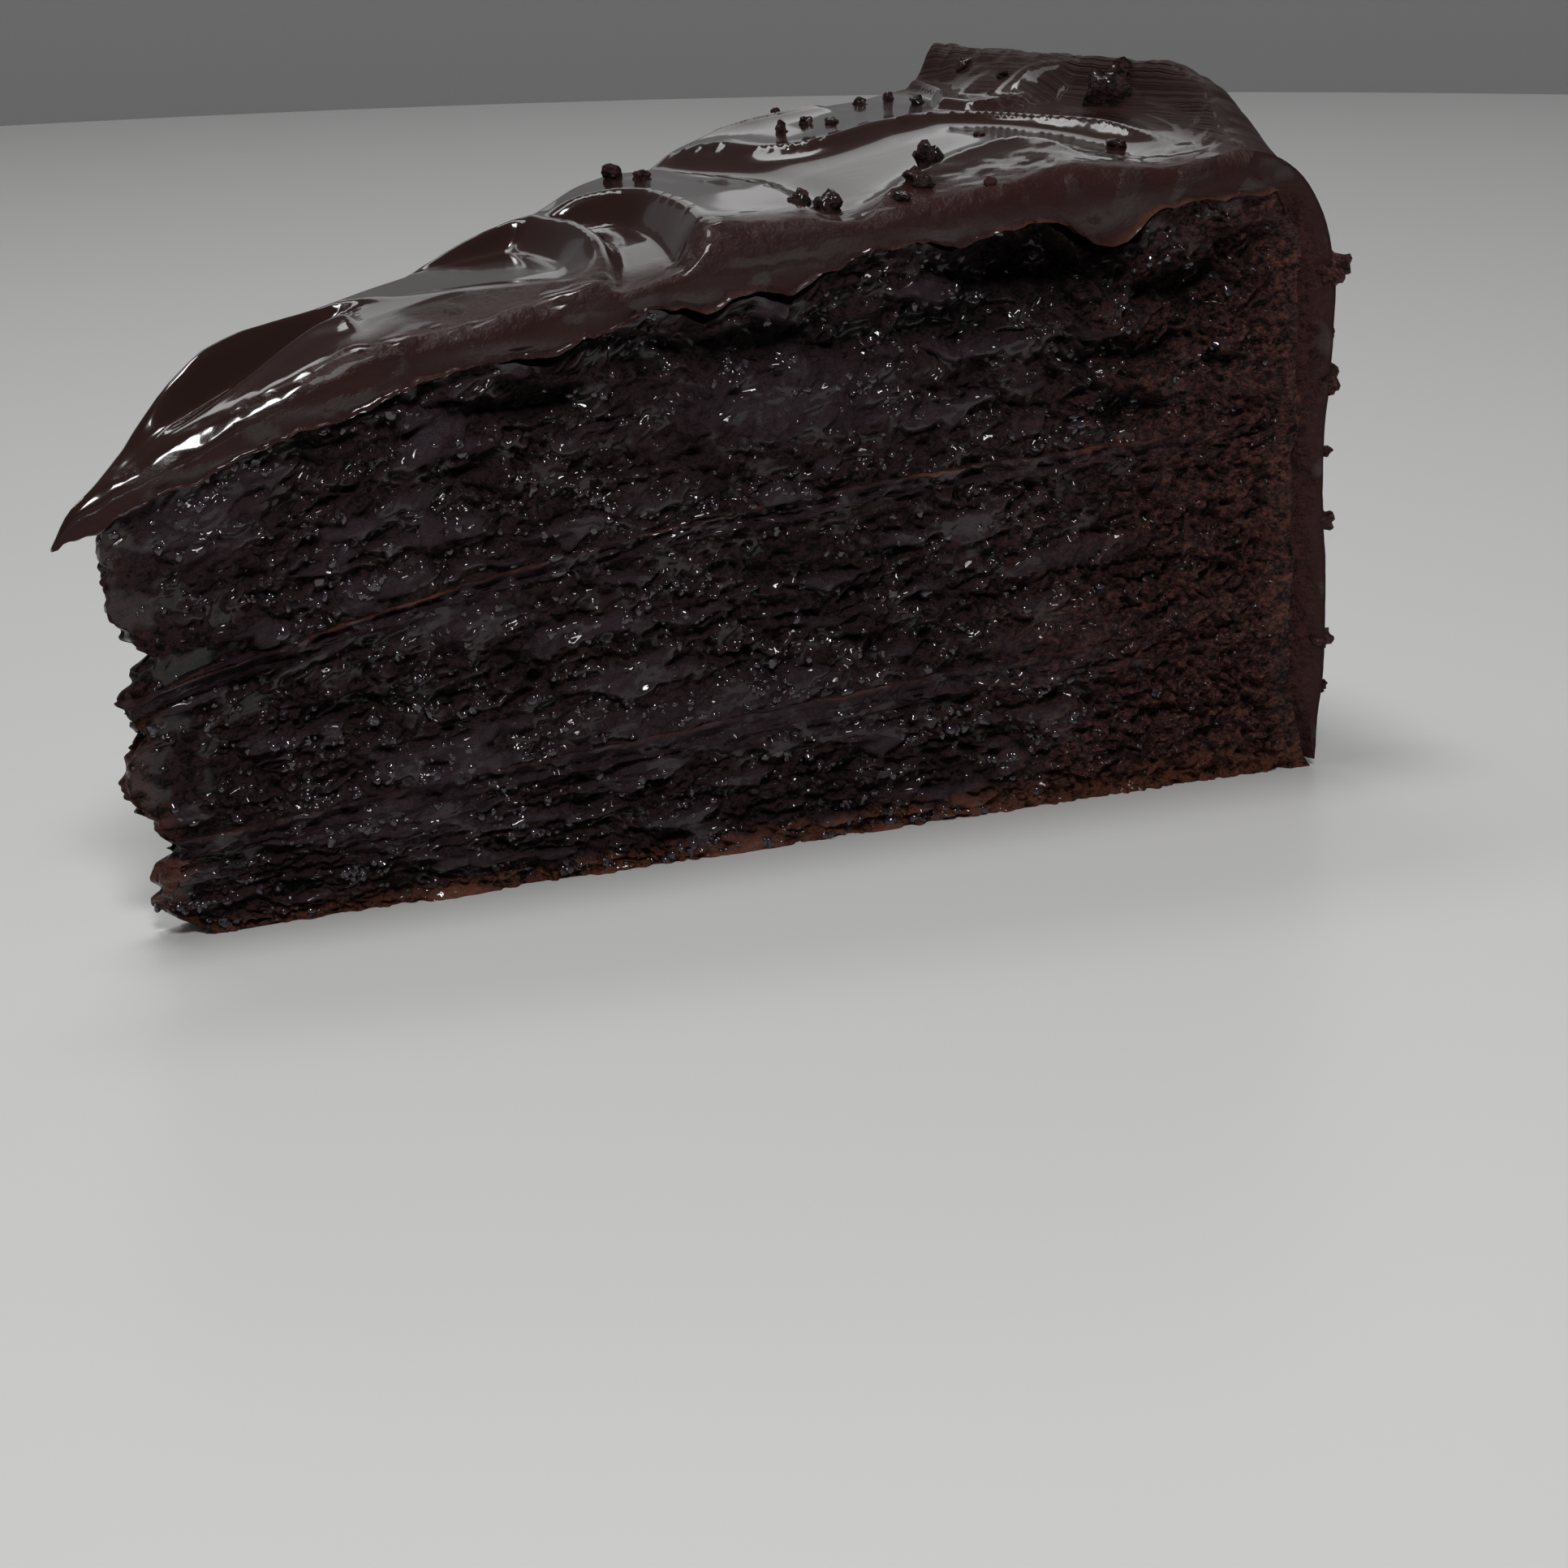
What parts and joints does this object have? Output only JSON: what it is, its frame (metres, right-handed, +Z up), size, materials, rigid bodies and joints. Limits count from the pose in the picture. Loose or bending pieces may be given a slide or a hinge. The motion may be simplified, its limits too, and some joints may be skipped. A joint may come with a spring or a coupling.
{
  "type": "chocolate cake slice",
  "caption": "Wedge of layered chocolate cake, cut from a round cake, with glossy swirled frosting on its top and round side and crumbs on it.",
  "frame": {"origin": "on the flat underside, on the slice's middle line, 56 mm from the centre of the whole cake", "axes": "+X from the pointed tip to the round outer side, +Z up, and the near cut face of the picture is on the -Y side"},
  "size_m": [0.1017, 0.0496, 0.0556],
  "materials": {
    "sponge": "moist dark crumb",
    "filling": "wet dark fudge",
    "frosting": "glossy dark chocolate"
  },
  "bodies": {
    "root": {"sponge_bottom": "sponge", "sponge_middle": "sponge", "sponge_top": "sponge", "filling_lower": "filling", "filling_upper": "filling", "frosting": "frosting"}
  },
  "joints": []
}
